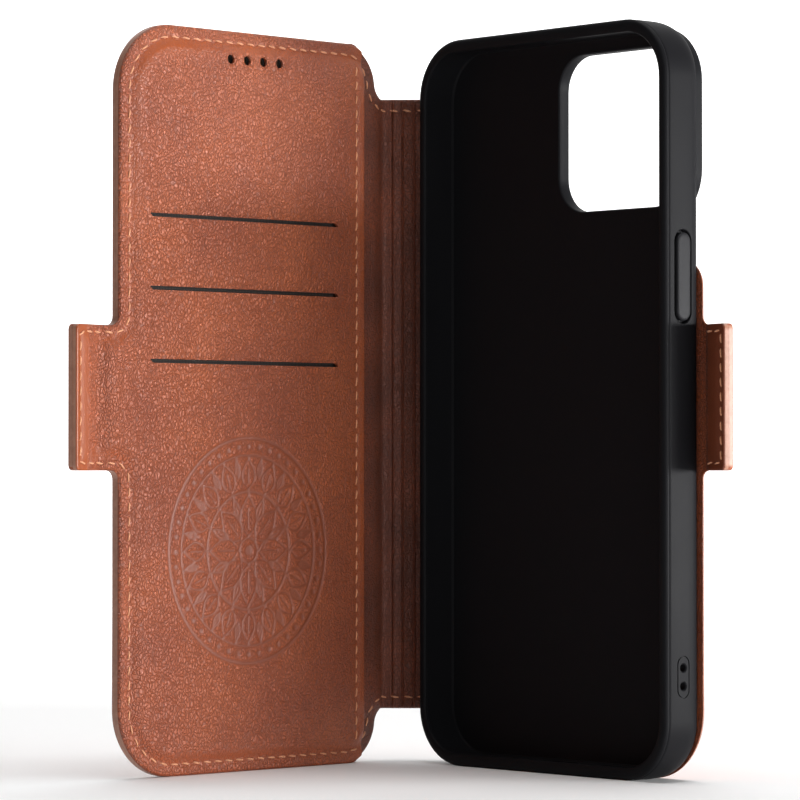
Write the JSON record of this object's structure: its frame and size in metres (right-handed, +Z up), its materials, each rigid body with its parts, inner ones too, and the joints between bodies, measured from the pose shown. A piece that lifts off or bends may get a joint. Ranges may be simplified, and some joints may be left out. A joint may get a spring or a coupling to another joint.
{
  "type": "phone wallet case",
  "caption": "Folio phone wallet case with a moulded tray, a leather cover with card slots and a cash pocket, and magnetic clasp tabs, standing open like a book.",
  "frame": {"origin": "under the middle of the standing case, on the surface it stands on", "axes": "+Z up along the hinge creases, -Y the way the open front of the phone tray faces, +X towards the tray's clasp side"},
  "size_m": [0.104, 0.1086, 0.1644],
  "materials": {
    "tan_leather": "semi-gloss pebbled saddle brown leather with painted edges",
    "leather_lining": "satin fine-grained brown leather",
    "black_tpu": "matte moulded flexible plastic, charcoal black",
    "stiffener_board": "grey pressed fibre board",
    "pocket_fabric": "thin dark woven lining",
    "peach_thread": "twisted polyester sewing thread, pale peach tan",
    "magnet_steel": "nickel-plated magnet bar"
  },
  "bodies": {
    "tray": {"tpu_tray": "black_tpu", "back_stiffener": "stiffener_board", "back_leather": "tan_leather", "back_stitching_lower": "peach_thread", "back_stitching_upper": "peach_thread"},
    "power_button": {"power_button": "black_tpu"},
    "action_button": {"action_button": "black_tpu"},
    "volume_up_button": {"volume_up_button": "black_tpu"},
    "volume_down_button": {"volume_down_button": "black_tpu"},
    "rear_tab": {"rear_tab_leather": "tan_leather", "rear_tab_board": "stiffener_board", "rear_tab_magnet_lower": "magnet_steel", "rear_tab_magnet_upper": "magnet_steel", "rear_tab_lining": "leather_lining", "rear_tab_stitching": "peach_thread"},
    "spine": {"spine_leather": "tan_leather", "spine_lining": "leather_lining", "spine_stitching_bottom": "peach_thread", "spine_stitching_top": "peach_thread"},
    "cover": {"cover_leather": "tan_leather", "cover_board": "stiffener_board", "cover_lining": "leather_lining", "card_panel_backing": "pocket_fabric", "card_slot_liner_top": "pocket_fabric", "card_slot_liner_middle": "pocket_fabric", "card_slot_liner_bottom": "pocket_fabric", "card_panel_leather": "tan_leather", "cover_stitching_lower": "peach_thread", "cover_stitching_upper": "peach_thread", "card_panel_edge_stitching": "peach_thread"},
    "front_tab": {"front_tab_leather": "tan_leather", "front_tab_board": "stiffener_board", "front_tab_magnet_lower": "magnet_steel", "front_tab_magnet_upper": "magnet_steel", "front_tab_lining": "leather_lining", "front_tab_stitching": "peach_thread"}
  },
  "joints": [
    {"name": "power_press", "type": "slide", "parent": "tray", "child": "power_button", "axis": [-1, 0, 0], "range_m": [0, 0.0005], "stiffness_N_per_m": 1000},
    {"name": "action_press", "type": "slide", "parent": "tray", "child": "action_button", "axis": [1, 0, 0], "range_m": [0, 0.0005], "stiffness_N_per_m": 1000},
    {"name": "volume_up_press", "type": "slide", "parent": "tray", "child": "volume_up_button", "axis": [1, 0, 0], "range_m": [0, 0.0005], "stiffness_N_per_m": 1000},
    {"name": "volume_down_press", "type": "slide", "parent": "tray", "child": "volume_down_button", "axis": [1, 0, 0], "range_m": [0, 0.0005], "stiffness_N_per_m": 1000},
    {"name": "rear_tab_fold", "type": "hinge", "parent": "tray", "child": "rear_tab", "pos_m": [0.04381, 0.05297, 0.0825], "axis": [0, 0, -1], "range_deg": [-25, 75]},
    {"name": "spine_fold", "type": "hinge", "parent": "tray", "child": "spine", "pos_m": [-0.04119, 0.05297, 0.0822], "axis": [0, 0, 1], "range_deg": [-137, 43]},
    {"name": "cover_fold", "type": "hinge", "parent": "spine", "child": "cover", "pos_m": [-0.0517, 0.0417, 0.0822], "axis": [0, 0, 1], "range_deg": [-137, 43]},
    {"name": "front_tab_fold", "type": "hinge", "parent": "cover", "child": "front_tab", "pos_m": [-0.04557, -0.04588, 0.0825], "axis": [0, 0, 1], "range_deg": [-25, 75]}
  ],
  "couplings": [
    {"joint": "cover_fold", "follows": "spine_fold", "ratio": 1}
  ]
}
